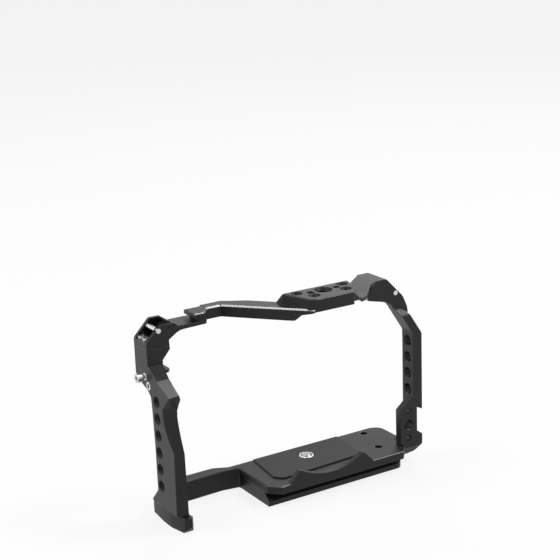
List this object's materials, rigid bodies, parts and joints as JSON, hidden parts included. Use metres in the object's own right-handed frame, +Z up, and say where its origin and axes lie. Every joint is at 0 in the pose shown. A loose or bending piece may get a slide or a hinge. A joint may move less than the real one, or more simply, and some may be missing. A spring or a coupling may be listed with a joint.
{
  "type": "camera cage",
  "caption": "Open aluminium cage for a mirrorless camera, with base, strap brackets, accessory shoe, threaded sides and a captive camera screw.",
  "frame": {"origin": "middle of the cage's bounding box at the underside of the dovetail base", "axes": "+X towards the plain side away from the camera's grip, +Y from the lens side to the screen side, +Z up"},
  "size_m": [0.1584, 0.051, 0.1089],
  "materials": {
    "black_anodised": "black anodised, fine satin",
    "bright_steel": "bright stainless steel",
    "rubber_pad": "smooth matt rubber",
    "nylon": "black nylon"
  },
  "bodies": {
    "frame": {"base_plate": "black_anodised", "dovetail_plate": "black_anodised", "dovetail_screws": "bright_steel", "base_pad": "rubber_pad", "screw_bushing": "bright_steel", "grip_side_frame": "black_anodised", "strap_block": "black_anodised", "top_frame": "black_anodised", "right_side_frame": "black_anodised", "foot_screws": "bright_steel", "pocket_screws": "bright_steel", "pillar_screws": "bright_steel", "shoulder_screw": "bright_steel", "left_strap_pin": "bright_steel", "right_strap_pin": "bright_steel"},
    "screw_washer": {"camera_screw_washer": "nylon"},
    "camera_screw": {"camera_screw": "bright_steel"},
    "lug_clamp": {"lug_clamp": "black_anodised"},
    "lug_clamp_screw": {"lug_clamp_screw": "bright_steel"},
    "lug_lock_screw": {"lug_lock_screw": "bright_steel"},
    "shoulder_set_screw": {"shoulder_set_screw": "bright_steel"}
  },
  "joints": [
    {"name": "camera_screw_lift", "type": "slide", "parent": "frame", "child": "screw_washer", "axis": [0, 0, 1], "range_m": [0, 0.0045]},
    {"name": "camera_screw_turn", "type": "hinge", "parent": "screw_washer", "child": "camera_screw", "pos_m": [0.0156, 0.0083, 0.0032], "axis": [0, 0, 1], "continuous": true},
    {"name": "lug_clamp_screw_turn", "type": "hinge", "parent": "frame", "child": "lug_clamp_screw", "pos_m": [-0.0738, 0.0134, 0.07495], "axis": [1, 0, 0], "range_deg": [0, 1601]},
    {"name": "lug_clamp_slide", "type": "slide", "parent": "frame", "child": "lug_clamp", "axis": [-1, 0, 0], "range_m": [0, 0.002]},
    {"name": "lug_lock_screw_turn", "type": "hinge", "parent": "frame", "child": "lug_lock_screw", "pos_m": [-0.0738, 0.0116, 0.07025], "axis": [1, 0, 0], "range_deg": [-720, 0]},
    {"name": "shoulder_set_screw_turn", "type": "hinge", "parent": "frame", "child": "shoulder_set_screw", "pos_m": [0.0463, -0.0047, 0.0972], "axis": [1, 0, 0], "range_deg": [-720, 720]}
  ],
  "couplings": [
    {"joint": "lug_clamp_screw_turn", "follows": "lug_clamp_slide", "rad_per_m": 13963}
  ]
}
